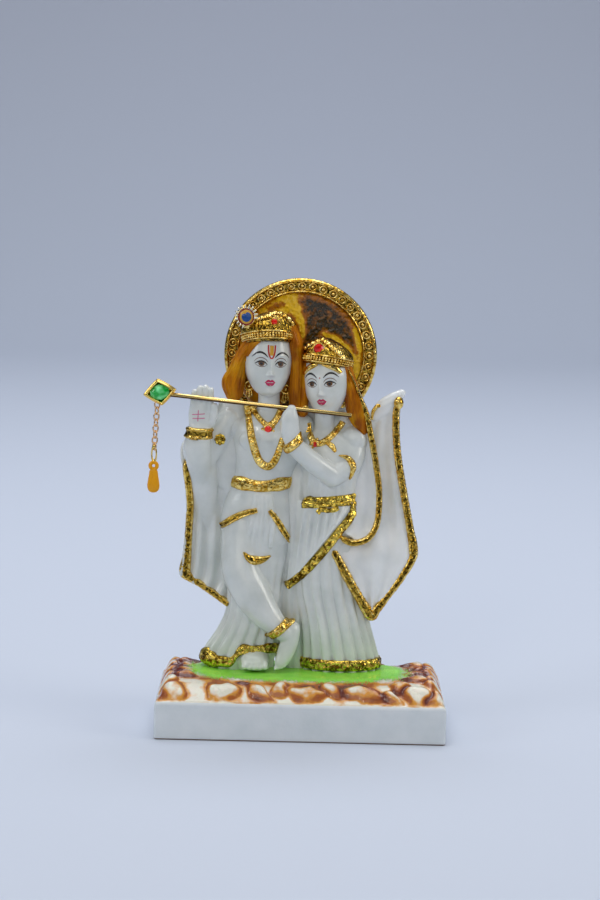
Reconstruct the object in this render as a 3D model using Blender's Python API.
import math

import bmesh
import bpy
from mathutils import Matrix, Vector
from mathutils.bvhtree import BVHTree

for thing in list(bpy.data.objects):
    bpy.data.objects.remove(thing, do_unlink=True)

# Driving sizes, in metres
BASE_WIDTH = 0.125
BASE_DEPTH = 0.060
BASE_HEIGHT = 0.0165
MOUND_HEIGHT = 0.0085
ROCK_SIZE = 0.0145
FIGURE_HEIGHT = 0.170
HALO_DIAMETER = 0.0672
HALO_THICKNESS = 0.0034
HALO_BEADS = 42
ROD_DIAMETER = 0.0019
ROD_LENGTH = 0.0765
BEZEL_WIDTH = 0.0142
BEZEL_HEIGHT = 0.0114
BEZEL_THICKNESS = 0.0026
GEM_WIDTH = 0.0074
GEM_HEIGHT = 0.0056
GEM_THICKNESS = 0.0030
LINK_COUNT = 7
LINK_LENGTH = 0.0039
LINK_WIDTH = 0.0026
LINK_WIRE = 0.0005
RING_LENGTH = 0.0060
RING_WIDTH = 0.0032
RING_WIRE = 0.0006
DROP_LENGTH = 0.0135
DROP_WIDTH = 0.0052
DROP_THICKNESS = 0.0032
CROWN_STONE = 0.0034
PENDANT_STONE = 0.0028
STONE_DEPTH = 0.0016
GAP = 0.0003

# Fineness of the cast body
VOXEL = 0.0009
CAST_TRIANGLES = 5900

# The figures are drawn in steps of one 170th of their own height, from the ground up
STEP = FIGURE_HEIGHT / 170.0
GROUND = BASE_HEIGHT + MOUND_HEIGHT
FIGURE_BACKSET = 3.0 * STEP


def place(x, y, z):
    return Vector((x * STEP, y * STEP + FIGURE_BACKSET, GROUND + z * STEP))


def smooth_row(keys, steps):
    # Catmull-Rom rows between the key rows
    rows = []
    for i in range(len(keys) - 1):
        before = keys[max(i - 1, 0)]
        start = keys[i]
        end = keys[i + 1]
        after = keys[min(i + 2, len(keys) - 1)]
        for k in range(steps):
            t = k / steps
            row = []
            for a, b, c, d in zip(before, start, end, after):
                row.append(0.5 * (2 * b + (c - a) * t + (2 * a - 5 * b + 4 * c - d) * t * t
                                  + (3 * b - a - 3 * c + d) * t ** 3))
            rows.append(tuple(row))
    rows.append(tuple(keys[-1]))
    return rows


def skin_rings(body, rings):
    # Closed body over a stack of equal rings
    made = [[body.verts.new(p) for p in ring] for ring in rings]
    count = len(made[0])
    for low, high in zip(made, made[1:]):
        for i in range(count):
            j = (i + 1) % count
            body.faces.new((low[i], low[j], high[j], high[i]))
    body.faces.new(list(reversed(made[0])))
    body.faces.new(made[-1])


def add_loft(body, keys, sides=28, steps=3, pleats=0, pleat_depth=0.0):
    # Horizontal oval rings: height, centre x, centre y, half width, half depth
    rings = []
    rows = smooth_row(keys, steps)
    for z, cx, cy, rx, ry in rows:
        share = min(1.0, 1.3 * (rows[-1][0] - z) / max(rows[-1][0] - rows[0][0], 0.001))
        ring = []
        for i in range(sides):
            turn = 2.0 * math.pi * i / sides
            wave = 1.0 - pleat_depth * share * (1.0 - abs(math.sin(pleats * turn / 2.0))) if pleats else 1.0
            ring.append(place(cx + rx * wave * math.cos(turn), cy + ry * wave * math.sin(turn), z))
        rings.append(ring)
    skin_rings(body, rings)


def add_limb(body, keys, sides=14, steps=3):
    # Tube through x, y, z, half width, half depth, with rounded ends
    rows = smooth_row(keys, steps)
    centres = [Vector(row[:3]) for row in rows]
    rings = []
    for i, row in enumerate(rows):
        ahead = centres[min(i + 1, len(rows) - 1)] - centres[max(i - 1, 0)]
        ahead.normalize()
        across = ahead.cross(Vector((0, 1, 0)))
        if across.length < 0.05:
            across = Vector((1, 0, 0))
        across.normalize()
        deep = across.cross(ahead)
        offsets = [(0.0, 1.0)]
        if i == 0:
            offsets = [(-0.94, 0.34), (-0.7, 0.72), (0.0, 1.0)]
        if i == len(rows) - 1:
            offsets = [(0.0, 1.0), (0.7, 0.72), (0.94, 0.34)]
        for along, size in offsets:
            centre = centres[i] + ahead * along * min(row[3], row[4])
            ring = []
            for k in range(sides):
                turn = 2.0 * math.pi * k / sides
                spot = (centre + across * row[3] * size * math.cos(turn)
                        + deep * row[4] * size * math.sin(turn))
                ring.append(place(*spot))
            rings.append(ring)
    skin_rings(body, rings)


def add_sheet(body, inner, outer, thick, columns=18, steps=3, folds=0.0, fold_depth=0.0):
    # Cloth between two edge curves of x, y, z, with soft folds down its length
    inner_rows = smooth_row(inner, steps)
    outer_rows = smooth_row(outer, steps)
    rings = []
    for i, (a, b) in enumerate(zip(inner_rows, outer_rows)):
        share = i / (len(inner_rows) - 1)
        front = []
        back = []
        for k in range(columns + 1):
            s = k / columns
            spot = [a[n] + (b[n] - a[n]) * s for n in range(3)]
            wave = fold_depth * (0.35 + 0.65 * share) * math.cos(2.0 * math.pi * folds * s)
            half = thick * 0.5 * (0.55 if k in (0, columns) else 1.0)
            front.append(place(spot[0], spot[1] + wave - half, spot[2]))
            back.append(place(spot[0], spot[1] + wave + half, spot[2]))
        rings.append(front + list(reversed(back)))
    skin_rings(body, rings)


def add_ball(body, x, y, z, rx, ry, rz, tilt=0.0):
    shift = Matrix.Translation(place(x, y, z)) @ Matrix.Rotation(math.radians(tilt), 4, 'Y')
    size = Matrix.Diagonal((rx * STEP, ry * STEP, rz * STEP, 1.0))
    bmesh.ops.create_icosphere(body, subdivisions=3, radius=1.0, matrix=shift @ size)


def object_from(body, name):
    bmesh.ops.recalc_face_normals(body, faces=body.faces)
    mesh = bpy.data.meshes.new(name)
    body.to_mesh(mesh)
    body.free()
    made = bpy.data.objects.new(name, mesh)
    bpy.context.scene.collection.objects.link(made)
    return made


def material(name, colour, metallic, roughness, coat=0.0):
    made = bpy.data.materials.new(name)
    made.use_nodes = True
    shader = made.node_tree.nodes['Principled BSDF']
    shader.inputs['Base Color'].default_value = (*colour, 1.0)
    shader.inputs['Metallic'].default_value = metallic
    shader.inputs['Roughness'].default_value = roughness
    shader.inputs['Coat Weight'].default_value = coat
    made.diffuse_color = (*colour, 1.0)
    return made


def settle(thing):
    # Turn the modifier stack of an object into its plain mesh
    shaped = thing.evaluated_get(bpy.context.evaluated_depsgraph_get())
    mesh = bpy.data.meshes.new_from_object(shaped)
    thing.modifiers.clear()
    thing.data = mesh


def keep_largest(thing):
    body = bmesh.new()
    body.from_mesh(thing.data)
    body.verts.ensure_lookup_table()
    unseen = set(body.verts)
    groups = []
    while unseen:
        first = unseen.pop()
        group = {first}
        front = [first]
        while front:
            spot = front.pop()
            for edge in spot.link_edges:
                other = edge.other_vert(spot)
                if other in unseen:
                    unseen.discard(other)
                    group.add(other)
                    front.append(other)
        groups.append(group)
    groups.sort(key=len)
    for group in groups[:-1]:
        bmesh.ops.delete(body, geom=list(group), context='VERTS')
    body.to_mesh(thing.data)
    body.free()


def combine(thing, other, how):
    change = thing.modifiers.new('Combine', 'BOOLEAN')
    change.operation = how
    change.solver = 'EXACT'
    change.object = other
    other.display_type = 'WIRE'
    other.hide_render = True
    settle(thing)
    bpy.data.objects.remove(other, do_unlink=True)


RESIN = material('White marble resin', (0.86, 0.88, 0.85), 0.0, 0.22, 0.5)
BRASS = material('Polished brass', (0.80, 0.58, 0.22), 1.0, 0.18)
GREEN_GLASS = material('Green cut glass', (0.02, 0.42, 0.16), 0.0, 0.06, 1.0)
RED_GLASS = material('Red cut glass', (0.62, 0.02, 0.03), 0.0, 0.08, 1.0)
AMBER = material('Amber plastic', (0.62, 0.33, 0.02), 0.0, 0.2, 0.5)

# The casting: base rocks and mound
cast = bmesh.new()
half_width = BASE_WIDTH / 2.0
half_depth = BASE_DEPTH / 2.0
mound_rings = []
for share, inset in ((-0.6, 0.06), (0.0, 0.08), (0.22, 0.13), (0.5, 0.20), (0.8, 0.28), (0.96, 0.38),
                     (1.0, 0.55)):
    ring = []
    for i in range(48):
        turn = 2.0 * math.pi * i / 48
        c = math.cos(turn)
        s = math.sin(turn)
        squarish = (abs(c) ** 4 + abs(s) ** 4) ** -0.25
        ring.append(Vector((half_width * (1.0 - inset) * c * squarish,
                            half_depth * (1.0 - inset) * s * squarish,
                            BASE_HEIGHT + MOUND_HEIGHT * share)))
    mound_rings.append(ring)
skin_rings(cast, mound_rings)


def rock(x, y, z, wide, deep, tall, turn):
    shift = Matrix.Translation((x, y, z)) @ Matrix.Rotation(turn, 4, 'Z') @ Matrix.Rotation(0.12, 4, 'X')
    size = Matrix.Diagonal((wide, deep, tall, 1.0))
    bmesh.ops.create_icosphere(cast, subdivisions=2, radius=1.0, matrix=shift @ size)


for row, (inset, lift, size) in enumerate(((0.60, 0.10, 1.0), (1.30, 0.52, 0.86))):
    reach_x = half_width - ROCK_SIZE * inset
    reach_y = half_depth - ROCK_SIZE * inset * 0.66
    around = 4.0 * (reach_x + reach_y)
    count = int(around / (ROCK_SIZE * 0.98))
    for i in range(count):
        run = (i + 0.5 * row) / count * around
        if run < 2 * reach_x:
            x, y = run - reach_x, -reach_y
        elif run < 2 * reach_x + 2 * reach_y:
            x, y = reach_x, run - 2 * reach_x - reach_y
        elif run < 4 * reach_x + 2 * reach_y:
            x, y = 3 * reach_x + 2 * reach_y - run, reach_y
        else:
            x, y = -reach_x, 4 * reach_x + 3 * reach_y - run
        sway = math.sin(i * 2.4 + row)
        rock(x, y, BASE_HEIGHT + MOUND_HEIGHT * lift, ROCK_SIZE * (0.50 + 0.07 * sway) * size,
             ROCK_SIZE * 0.36 * size, MOUND_HEIGHT * (0.46 + 0.08 * sway), 0.35 * sway)

# Krishna: hips, bare chest and neck
add_loft(cast, [(56, -20.5, 4, 15.6, 9.8), (64, -20.0, 4, 16.6, 10.0), (72, -20.0, 4, 15.6, 9.4),
                (79, -19.4, 4, 13.4, 8.4), (85, -18.8, 4, 13.4, 8.2), (93, -17.4, 4, 14.6, 8.8),
                (101, -17.0, 4, 15.8, 9.0), (107, -17.0, 4.5, 15.6, 7.8), (111, -16.8, 5, 11.0, 6.0),
                (114, -16.6, 5, 5.4, 5.0), (122, -16.6, 4, 4.8, 4.8)])
add_loft(cast, [(77.5, -19.4, 4, 13.0, 8.0), (78.4, -19.4, 4, 14.4, 9.4), (80.5, -19.3, 4, 14.6, 9.5),
                (82.8, -19.2, 4, 14.3, 9.2), (83.6, -19.1, 4, 13.0, 8.0)], steps=2)
add_ball(cast, -32.5, 5, 106.5, 6.2, 6.0, 6.0)
add_ball(cast, -2.5, 6, 106.5, 6.0, 5.6, 6.0)
add_limb(cast, [(-2.5, 6, 106, 5.2, 5.0), (6, 9, 101, 4.6, 4.4), (16, 10, 100, 4.2, 4.0)])

# Krishna: raised arm, wrist band and open hand
add_limb(cast, [(-33, 5, 107, 5.6, 5.6), (-41, 3, 99.5, 5.2, 5.2), (-48.4, 0, 95.0, 5.0, 5.0)])
add_limb(cast, [(-48.4, 0, 95.0, 5.0, 5.0), (-47.0, -4, 99.5, 5.1, 4.8), (-45.9, -6, 105.5, 4.8, 4.0)])
add_limb(cast, [(-45.9, -5.4, 101.8, 5.9, 5.2), (-45.8, -5.8, 105.2, 5.9, 5.0)], steps=2)
add_limb(cast, [(-45.8, -5.8, 106.5, 4.4, 3.2), (-45.8, -6.0, 111.5, 5.3, 3.0),
                (-45.6, -6.0, 116.0, 5.0, 2.7)])
for i in range(4):
    lean = (i - 1.5) * 2.35
    top = 122.6 - 0.55 * (i - 1.3) ** 2
    add_limb(cast, [(-45.6 + lean * 0.92, -6.2, 115.5, 1.35, 1.9), (-45.2 + lean, -6.6, 119.5, 1.3, 1.8),
                    (-44.9 + lean, -7.0, top, 1.1, 1.4)], sides=10)
add_limb(cast, [(-41.6, -6.2, 110.5, 1.8, 1.8), (-39.9, -6.6, 115.0, 1.6, 1.6),
                (-39.3, -6.8, 119.0, 1.3, 1.3)])

# Krishna: pleated dhoti over the standing leg, with the foot below its hem
add_loft(cast, [(-1.5, -26.5, 3, 14.6, 9.0), (3, -28.0, 3, 16.4, 9.6), (8, -26.6, 3, 16.4, 9.4),
                (16, -23.6, 3, 14.2, 9.0), (25, -21.4, 3, 12.6, 8.6), (36, -20.8, 3, 12.8, 8.8),
                (46, -21.0, 3.5, 14.4, 9.4), (60, -20.5, 4, 15.6,
                                              9.8)], sides=96, pleats=16, pleat_depth=0.12)
add_limb(cast, [(-19.8, 0, 6.5, 5.6, 4.6), (-20.2, -6, 4.4, 6.4, 3.6), (-20.4, -9.5, 2.6, 6.2, 2.6)])

# Krishna: the crossing leg, its anklet and its pointed foot
add_limb(cast, [(-26.5, 3, 64, 9.4, 8.6), (-27.4, 0.6, 52, 8.8, 8.4), (-26.7, -2.2, 42.6, 8.6, 8.2),
                (-22.0, -4.4, 33.8, 8.3, 7.2), (-16.9, -5.4, 26.2, 6.9, 6.2), (-11.0, -6.4, 20.0, 5.0, 4.8),
                (-7.0, -6.4, 16.6, 4.2, 4.2)], sides=20)
add_limb(cast, [(-9.6, -6.4, 20.4, 6.3, 5.6), (-7.6, -6.4, 18.2, 6.1, 5.4)], steps=2)
add_limb(cast, [(-4.8, -5.2, 18.5, 4.2, 4.0), (-5.6, -6.6, 12.5, 4.4, 3.8), (-7.4, -8.4, 6.4, 4.3, 3.2),
                (-8.6, -9.8, 2.6, 3.4, 2.4)])

# Krishna: the sash ends over the hips
add_limb(cast, [(-37.0, 1.0, 62.0, 1.9, 2.4), (-29.0, -5.4, 66.5, 1.9, 2.2), (-20.6, -6.6, 70.6, 1.6, 2.0)])
add_limb(cast, [(-15.0, -6.2, 71.0, 1.5, 2.0), (-10.0, -5.2, 64.0, 1.8, 2.2), (-6.0, -3.2, 56.6, 1.6, 2.0)])
add_limb(cast, [(-26.4, -8.0, 52.4, 1.4, 2.0), (-20.6, -8.6, 49.0, 1.8, 2.2),
                (-14.8, -6.6, 50.4, 1.4, 2.0)])

# Krishna: the shawl hanging behind the raised arm
add_sheet(cast, [(-26, 6, 110), (-25, 7, 96), (-25, 7, 80), (-25, 7, 62), (-25, 7, 46), (-26, 6, 34),
                 (-30, 4, 25.5)],
          [(-37, 6, 111), (-53.0, 4, 98), (-52.0, 4, 84), (-49.8, 4.5, 69), (-50.8, 4, 57),
           (-52.4, 3.5, 46), (-54.6, 3, 40.5)],
          4.2, columns=24, folds=3.5, fold_depth=1.0)

# Krishna: head, hair, crown and feather
add_loft(cast, [(120.4, -16.6, -1.2, 2.6, 2.6), (122.2, -16.6, 0.0, 5.4, 5.6),
                (126.0, -16.8, 1.6, 8.0, 8.4),
                (131.0, -17.0, 2.8, 9.5, 9.8), (137.0, -17.1, 3.6, 9.9, 10.6),
                (143.0, -17.0, 4.0, 9.7, 10.4),
                (149.0, -16.9, 4.2, 8.2, 8.8), (153.0, -16.9, 4.4, 4.4, 5.0)])
add_limb(cast, [(-17.0, -6.6, 133.0, 0.9, 1.0), (-17.0, -7.6, 130.4, 1.3, 1.5)], steps=2)
add_limb(cast, [(-24.5, 6, 144, 4.6, 6.0), (-29.0, 5, 132, 4.8, 6.0), (-32.2, 4, 123.5, 4.6, 5.0),
                (-30.6, 4, 117.5, 3.4, 4.0)])
add_limb(cast, [(-9.0, 7, 144, 4.6, 5.6), (-7.4, 6, 132, 4.4, 5.4), (-7.0, 6, 116, 4.4, 5.0)])
add_ball(cast, -17.5, 11, 131, 13.5, 7.5, 18.5)
add_loft(cast, [(142.0, -17.6, 3.8, 9.4, 10.0), (142.8, -17.8, 3.8, 11.4, 12.0),
                (146.0, -18.0, 3.8, 12.4, 12.4), (149.6, -17.8, 3.9, 13.2, 12.0),
                (152.8, -16.6, 4.2, 10.8, 9.6), (155.4, -15.2, 4.5, 6.4, 6.0),
                (156.8, -14.4, 4.6, 2.2, 2.4)], sides=32)
add_ball(cast, -26.9, -0.5, 153.4, 5.0, 2.4, 5.6, tilt=-14)

# Radha: blouse, waist and pleated skirt
add_loft(cast, [(-1.5, 16.8, 4, 18.0, 11.4), (3, 16.8, 4, 18.2, 11.4), (10, 15.8, 4, 17.4, 11.0),
                (21, 13.8, 4, 16.2, 10.6), (36, 10.6, 4, 15.8, 10.2), (50, 9.8, 4, 15.2, 10.0),
                (62, 9.8, 4, 14.6, 9.6), (72, 10.2, 4, 13.0, 8.8)], sides=108, pleats=18, pleat_depth=0.13)
add_loft(cast, [(68, 10.2, 4, 13.2, 8.9), (75, 10.2, 4, 12.5, 8.6), (82, 10.6, 4, 12.2, 8.4),
                (90, 11.4, 4, 13.4, 9.4), (96, 12.0, 4, 13.4, 8.8), (101, 11.6, 4.5, 12.4, 7.0),
                (104.5, 9.6, 5, 8.2, 5.4), (107, 8.0, 5, 4.8, 4.8), (116, 7.4, 4, 4.4, 4.4)])
add_loft(cast, [(72.2, 10.2, 4, 12.2, 8.2), (73.0, 10.2, 4, 13.6, 9.6), (75.2, 10.2, 4, 13.6, 9.6),
                (77.4, 10.3, 4, 13.4, 9.4), (78.2, 10.3, 4, 12.2, 8.2)], steps=2)
add_limb(cast, [(21.0, 4.5, 99.0, 5.6, 5.6), (19.0, 0.5, 91.5, 5.3, 5.2), (11.5, -4.6, 86.4, 4.9, 4.8)])
add_limb(cast, [(11.5, -4.6, 86.6, 4.9, 4.8), (2.6, -7.6, 93.2, 4.5, 4.3), (-5.4, -9.0, 100.2, 4.1, 3.9)])
add_limb(cast, [(-5.0, -8.9, 99.8, 5.2, 4.6), (-6.4, -9.1, 102.2, 5.1, 4.5)], steps=2)
add_limb(cast, [(-6.2, -9.0, 102.6, 3.7, 3.3), (-7.2, -9.2, 107.8, 4.2, 3.2), (-7.2, -9.2, 112.6, 3.7, 3.1),
                (-6.7, -9.0, 115.4, 2.4, 2.6)])

# Radha: cloth drawn across the skirt, from the belt to the far hip
drape_top = []
drape_low = []
for i in range(9):
    t = i / 8.0
    x_top = 20.5 - 24.0 * t
    z_low = 75.5 - 39.0 * t ** 0.86
    x_low = 21.0 - 28.6 * t ** 0.92
    front = math.sqrt(max(0.05, 1.0 - ((x_top - 10.0) / 14.6) ** 2))
    drape_top.append((x_top, 3.6 - 9.0 * front, 75.0))
    front = math.sqrt(max(0.05, 1.0 - ((x_low - 9.6) / 18.6) ** 2))
    drape_low.append((x_low, 3.6 - 10.6 * front, z_low))
add_sheet(cast, drape_top, drape_low, 2.6, columns=10, steps=2)

# Radha: the veil over her shoulder and the wide cloth behind her
add_sheet(cast, [(11, 6, 131), (14, 6, 123), (18, 5, 114), (19.5, 4, 106), (20, 4, 97), (20, 3, 86),
                 (19, 2, 74), (18, 0, 66), (17, -3, 62)],
          [(16.9, 1, 132), (21.4, 2, 123), (25.6, 3, 113.5), (28.2, 3, 102), (31.0, 3, 91), (33.0, 2, 80),
           (33.2, 0.5, 68), (31.0, -1, 60.6), (24.5, -3.4, 56.6)],
          3.6, columns=14, folds=1.5, fold_depth=0.5)
add_sheet(cast, [(29, 9, 113), (25, 9, 104), (22, 9, 92), (20, 8, 78), (17, 5, 64), (13.4, -2.2, 54.6),
                 (19.2, -2.6, 42.5), (25.6, -1.6, 31.5), (30.0, -1.0, 25.2)],
          [(41.2, 9, 121.5), (39.6, 9, 112), (40.6, 8, 97), (43.6, 7.5, 81), (47.4, 7, 64),
           (49.8, 5.5, 50.5), (43.4, 3.4, 39), (37.0, 1.4, 31.6), (31.6, -0.4, 25.4)],
          3.8, columns=20, folds=3.0, fold_depth=0.8)

# Radha: head, hair and crown
add_loft(cast, [(113.0, 7.3, -1.2, 2.4, 2.4), (114.8, 7.3, 0.0, 5.0, 5.2), (118.4, 7.4, 1.6, 7.6, 8.0),
                (123.0, 7.4, 2.8, 9.0, 9.4), (129.0, 6.9, 3.6, 9.3, 10.0), (134.0, 6.6, 4.0, 9.1, 9.8),
                (139.0, 6.4, 4.2, 7.0, 7.8), (142.0, 6.4, 4.4, 3.6, 4.2)])
add_limb(cast, [(7.3, -6.3, 124.8, 0.9, 1.0), (7.5, -7.2, 122.4, 1.2, 1.4)], steps=2)
add_limb(cast, [(13.0, 6, 137, 4.4, 5.4), (18.0, 5, 127, 4.0, 5.2), (20.2, 4, 118, 3.6, 4.6),
                (22.2, 3, 110, 2.8, 3.4), (24.4, 2, 105.5, 1.4, 2.0)])
add_limb(cast, [(0.4, 6, 136, 3.8, 5.0), (-1.4, 5, 126, 3.4, 4.6), (-1.8, 5, 112, 3.2, 4.0)])
add_ball(cast, 8.5, 11, 121, 12.4, 7.0, 17.5)
add_loft(cast, [(132.8, 7.3, 3.8, 8.8, 9.6), (133.6, 7.4, 3.8, 10.4, 11.2), (135.8, 7.6, 3.8, 11.2, 11.6),
                (138.6, 7.4, 3.9, 11.0, 11.0),
                (141.4, 6.4, 4.2, 8.6, 8.6), (143.6, 5.2, 4.5, 5.2, 5.4),
                (145.0, 4.6, 4.6, 1.8, 2.0)], sides=32)

casting = object_from(cast, 'statue_casting')
remesh = casting.modifiers.new('Blend', 'REMESH')
remesh.mode = 'VOXEL'
remesh.voxel_size = VOXEL
settle(casting)
keep_largest(casting)
soften = casting.modifiers.new('Soften', 'SMOOTH')
soften.factor = 0.4
soften.iterations = 1
settle(casting)
triangles = sum(len(face.vertices) - 2 for face in casting.data.polygons)
thin = casting.modifiers.new('Thin', 'DECIMATE')
thin.decimate_type = 'COLLAPSE'
thin.ratio = min(1.0, CAST_TRIANGLES / triangles)
thin.use_collapse_triangulate = True
settle(casting)

# The halo: a dished disc whose raised rim carries a row of beads
halo = bmesh.new()
halo_centre = place(-3.3, 17.5, 136.9)
halo_radius = HALO_DIAMETER / 2.0
sides = HALO_BEADS * 2
profile = [(0.30, 1.0, 0.0), (0.96, 0.9, 0.0), (1.0, 0.1, 0.03),
           (0.965, -0.9, 0.02), (0.895, -0.9, 0.0), (0.86, -0.2, 0.0), (0.30, 0.2, 0.0)]
rings = []
for radius, height, bead in profile:
    ring = []
    for i in range(sides):
        turn = 2.0 * math.pi * i / sides
        swell = 1.0 if i % 2 else 1.0 - bead
        proud = 1.0 if height > -0.5 or i % 2 else 0.62
        reach = halo_radius * radius * swell
        ring.append(halo_centre + Vector((reach * math.cos(turn), HALO_THICKNESS * 0.5 * height * proud,
                                          reach * math.sin(turn))))
    rings.append(ring)
skin_rings(halo, rings)
combine(casting, object_from(halo, 'halo_disc'), 'UNION')

# The plain block of the base
block = bmesh.new()
edge = 0.0006
rings = []
for z, inset in ((0.0, 0.0), (BASE_HEIGHT - edge, 0.0), (BASE_HEIGHT, edge)):
    w = half_width - inset
    d = half_depth - inset
    rings.append([Vector((-w, -d, z)), Vector((w, -d, z)), Vector((w, d, z)), Vector((-w, d, z))])
skin_rings(block, rings)
combine(casting, object_from(block, 'base_block'), 'UNION')


def front_surface(thing, x, z):
    # The frontmost point of a body at a place seen from the front
    body = bmesh.new()
    body.from_mesh(thing.data)
    tree = BVHTree.FromBMesh(body)
    body.free()
    hit = tree.ray_cast(Vector((x, -1.0, z)), Vector((0, 1, 0)))[0]
    return hit


def rod_body(name, start, ahead, length, radius, sides=16):
    body = bmesh.new()
    across = ahead.cross(Vector((0, 1, 0))).normalized()
    deep = across.cross(ahead)
    rings = []
    for along in (0.0, length):
        centre = start + ahead * along
        rings.append([centre + across * radius * math.cos(2 * math.pi * i / sides)
                      + deep * radius * math.sin(2 * math.pi * i / sides) for i in range(sides)])
    skin_rings(body, rings)
    return object_from(body, name)


# The flute: a straight rod through the raised hands
rod_ahead = Vector((74.3, 0.0, -6.9)).normalized()
rod_middle = place(-19.0, -9.0, 117.25)
rod_start = rod_middle - rod_ahead * ROD_LENGTH / 2.0
combine(casting, rod_body('rod_channel', rod_start - rod_ahead * 0.002, rod_ahead, ROD_LENGTH + 0.004,
                          ROD_DIAMETER / 2.0 + GAP), 'DIFFERENCE')
flute_rod = rod_body('flute_rod', rod_start, rod_ahead, ROD_LENGTH, ROD_DIAMETER / 2.0)
flute_rod.data.materials.append(BRASS)


def stone(name, at, size, depth, back, grow=0.0):
    # Round cut stone facing forward, or its seat when grown
    body = bmesh.new()
    rings = []
    radius = size / 2.0 + grow
    for y, share in ((back + grow, 1.0), (back - depth * 0.55, 1.0),
                     (back - depth - grow, 0.55 if not grow else 1.0)):
        rings.append([at + Vector((radius * share * math.cos(math.pi * (i + 0.5) / 4), y,
                                   radius * share * math.sin(math.pi * (i + 0.5) / 4))) for i in range(8)])
    skin_rings(body, rings)
    return object_from(body, name)


stones = (('crown_stone_krishna', -14.7, 150.6, CROWN_STONE),
          ('crown_stone_radha', 4.6, 140.0, CROWN_STONE),
          ('pendant_stone_krishna', -16.6, 106.0, PENDANT_STONE),
          ('pendant_stone_radha', 4.2, 99.4, PENDANT_STONE))
for name, x, z, size in stones:
    spot = place(x, 0, z)
    seat = front_surface(casting, spot.x, spot.z)
    combine(casting, stone(name + '_seat', seat, size, STONE_DEPTH, STONE_DEPTH * 0.6, GAP), 'DIFFERENCE')
    made = stone(name, seat, size, STONE_DEPTH, STONE_DEPTH * 0.6)
    made.data.materials.append(RED_GLASS)
casting.data.materials.append(RESIN)

# The bezel: a four-pointed plate with a collar for the rod and an eye for the chain
bezel_centre = rod_start - rod_ahead * (BEZEL_WIDTH / 2.0 - 0.0003)
tilt = Matrix.Rotation(math.radians(-7.0), 4, 'Y')


def plate(name, centre, wide, tall, front, back, points, spin, front_share=1.0):
    body = bmesh.new()
    rings = []
    for y, share in ((back, 1.0), (front * 0.35 + back * 0.65, 1.0), (front, front_share)):
        ring = []
        for i in range(points):
            turn = 2.0 * math.pi * i / points + spin
            ring.append(centre + tilt @ Vector((wide * 0.5 * share * math.cos(turn), y,
                                                tall * 0.5 * share * math.sin(turn))))
        rings.append(ring)
    skin_rings(body, rings)
    return object_from(body, name)


def wire_loop(name, centre, length, width, wire, yaw, segments=12, around=6):
    # Oval wire loop standing upright, turned about the vertical
    body = bmesh.new()
    aside = Vector((math.cos(yaw), math.sin(yaw), 0.0))
    out = Vector((-math.sin(yaw), math.cos(yaw), 0.0))
    half = (length - wire) / 2.0
    side = (width - wire) / 2.0
    straight = half - side
    made = []
    for i in range(segments):
        turn = 2.0 * math.pi * i / segments
        way = aside * math.cos(turn) + Vector((0, 0, math.sin(turn)))
        rise = straight * (1.0 if math.sin(turn) > 0.001 else -1.0 if math.sin(turn) < -0.001 else 0.0)
        spot = centre + way * side + Vector((0, 0, rise))
        ring = []
        for k in range(around):
            roll = 2.0 * math.pi * k / around
            ring.append(body.verts.new(spot + way * wire * 0.5 * math.cos(roll)
                                       + out * wire * 0.5 * math.sin(roll)))
        made.append(ring)
    for i in range(segments):
        a = made[i]
        b = made[(i + 1) % segments]
        for k in range(around):
            m = (k + 1) % around
            body.faces.new((a[k], a[m], b[m], b[k]))
    return object_from(body, name)


bezel = plate('flute_bezel', bezel_centre, BEZEL_WIDTH, BEZEL_HEIGHT, -BEZEL_THICKNESS / 2.0,
              BEZEL_THICKNESS / 2.0,
              4, 0.0, 0.86)
collar_length = 0.0034
collar_start = rod_start - rod_ahead * 0.0022
combine(bezel, rod_body('collar', collar_start, rod_ahead, collar_length,
                        ROD_DIAMETER / 2.0 + GAP + 0.0005),
        'UNION')
combine(bezel, rod_body('socket', rod_start - rod_ahead * GAP, rod_ahead, 0.02, ROD_DIAMETER / 2.0 + GAP),
        'DIFFERENCE')

# Each loop hangs inside the one above it by the wires and the gap
yaw_one = math.radians(-30.0)
yaw_two = math.radians(60.0)
eye_wire = LINK_WIRE * 1.2
eye_size = LINK_WIDTH * 1.15
bezel_low = bezel_centre + tilt @ Vector((0, 0, -BEZEL_HEIGHT / 2.0))
eye_centre = bezel_low - Vector((0, 0, eye_size * 0.28))
combine(bezel, wire_loop('eye', eye_centre, eye_size, eye_size, eye_wire, yaw_two), 'UNION')
seat_back = -BEZEL_THICKNESS / 2.0 + GEM_THICKNESS * 0.55
combine(bezel, plate('gem_seat', bezel_centre, GEM_WIDTH + 2 * GAP, GEM_HEIGHT + 2 * GAP, -0.01,
                     seat_back + GAP,
                     8, math.pi / 8), 'DIFFERENCE')
bezel.data.materials.append(BRASS)
gem = plate('flute_gem', bezel_centre, GEM_WIDTH, GEM_HEIGHT, seat_back - GEM_THICKNESS, seat_back, 8,
            math.pi / 8, 0.6)
gem.data.materials.append(GREEN_GLASS)

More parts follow.
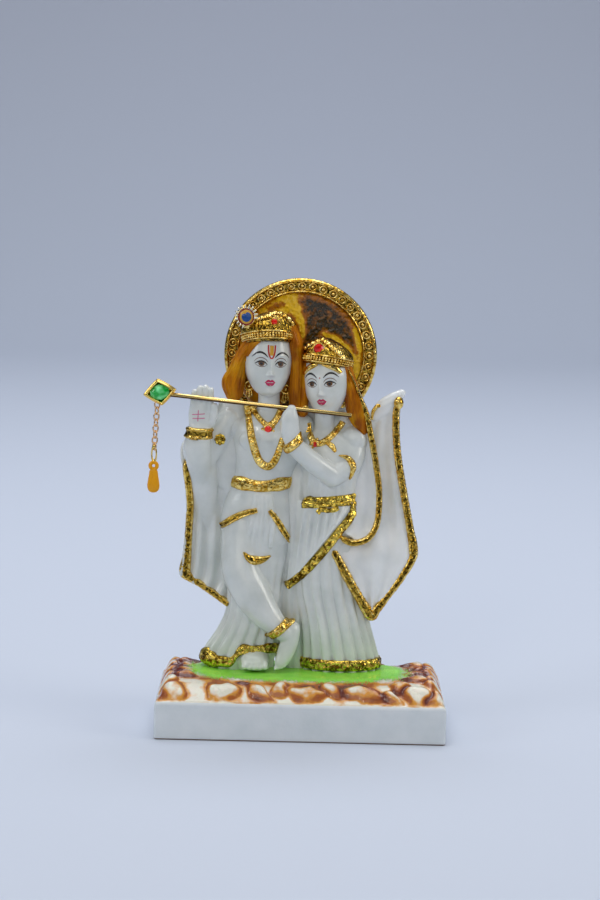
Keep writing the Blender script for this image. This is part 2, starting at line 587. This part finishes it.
wire_low = eye_centre.z - eye_size / 2.0 + eye_wire
centre = Vector((eye_centre.x, eye_centre.y, wire_low + GAP + LINK_WIRE - LINK_LENGTH / 2.0))
for i in range(LINK_COUNT):
    link = wire_loop('chain_link_%d' % (i + 1), centre, LINK_LENGTH, LINK_WIDTH, LINK_WIRE,
                     yaw_one if i % 2 == 0 else yaw_two)
    link.data.materials.append(BRASS)
    wire_low = centre.z - LINK_LENGTH / 2.0 + LINK_WIRE
    centre = centre - Vector((0, 0, LINK_LENGTH - 2.0 * LINK_WIRE - GAP))
ring_yaw = yaw_one if LINK_COUNT % 2 == 0 else yaw_two
centre.z = wire_low + GAP + RING_WIRE - RING_LENGTH / 2.0
jump_ring = wire_loop('jump_ring', centre, RING_LENGTH, RING_WIDTH, RING_WIRE, ring_yaw, segments=16)
jump_ring.data.materials.append(BRASS)

# The drop: a flat pear hung by a hole through its thin top
ring_wire_z = centre.z - RING_LENGTH / 2.0 + RING_WIRE / 2.0
hole_radius = RING_WIRE / 2.0 + GAP + 0.0002
hole_z = ring_wire_z - (hole_radius - RING_WIRE / 2.0 - GAP)
flat = Vector((math.cos(ring_yaw), math.sin(ring_yaw), 0.0))
wide = Vector((-math.sin(ring_yaw), math.cos(ring_yaw), 0.0))
drop = bmesh.new()
rings = []
top_wall = 0.0007
for down, width, thick in ((0.0, 0.26, 0.22), (0.035, 0.50, 0.28), (0.10, 0.62, 0.30), (0.20, 0.50, 0.30),
                           (0.32, 0.60, 0.52), (0.50, 0.86, 0.84), (0.68, 1.0, 1.0), (0.84, 0.92, 0.90),
                           (0.95, 0.62, 0.60), (1.0, 0.22, 0.24)):
    z = hole_z + hole_radius + top_wall - DROP_LENGTH * down
    rings.append([Vector((centre.x, centre.y, z))
                  + wide * DROP_WIDTH * 0.5 * width * math.cos(2 * math.pi * i / 16)
                  + flat * DROP_THICKNESS * 0.5 * thick * math.sin(2 * math.pi * i / 16) for i in range(16)])
skin_rings(drop, rings)
drop = object_from(drop, 'drop')
hole_start = Vector((centre.x, centre.y, hole_z)) - flat * 0.004
combine(drop, rod_body('drop_hole', hole_start, flat, 0.008, hole_radius, sides=12), 'DIFFERENCE')
drop.data.materials.append(AMBER)
